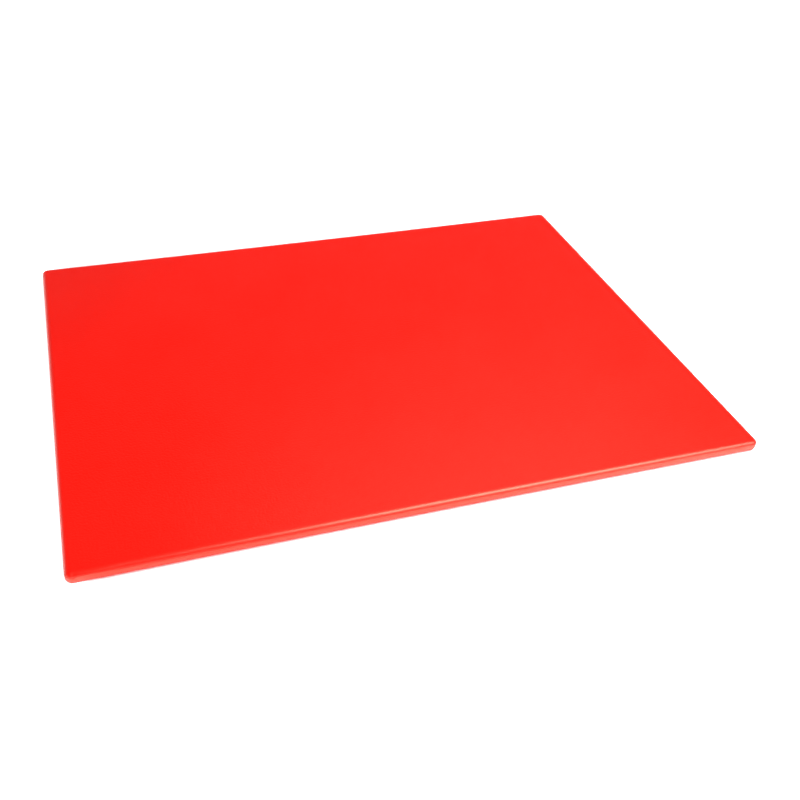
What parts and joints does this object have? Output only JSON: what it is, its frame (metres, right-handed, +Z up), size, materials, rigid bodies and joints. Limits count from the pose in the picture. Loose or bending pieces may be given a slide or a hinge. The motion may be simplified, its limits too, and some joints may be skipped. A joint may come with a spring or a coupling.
{
  "type": "cutting board",
  "caption": "Plain reversible cutting board for a catering kitchen: a flat rectangular slab of red polyethylene with small corner radii and a rounded rim on both faces.",
  "frame": {"origin": "centre of the underside, the face that lies on the counter", "axes": "+X along the long sides, +Y from the front long side to the back one, +Z up through the thickness, towards the work face"},
  "size_m": [0.6, 0.45, 0.01],
  "materials": {
    "red_polyethylene": "satin"
  },
  "bodies": {
    "root": {"board": "red_polyethylene"}
  },
  "joints": []
}
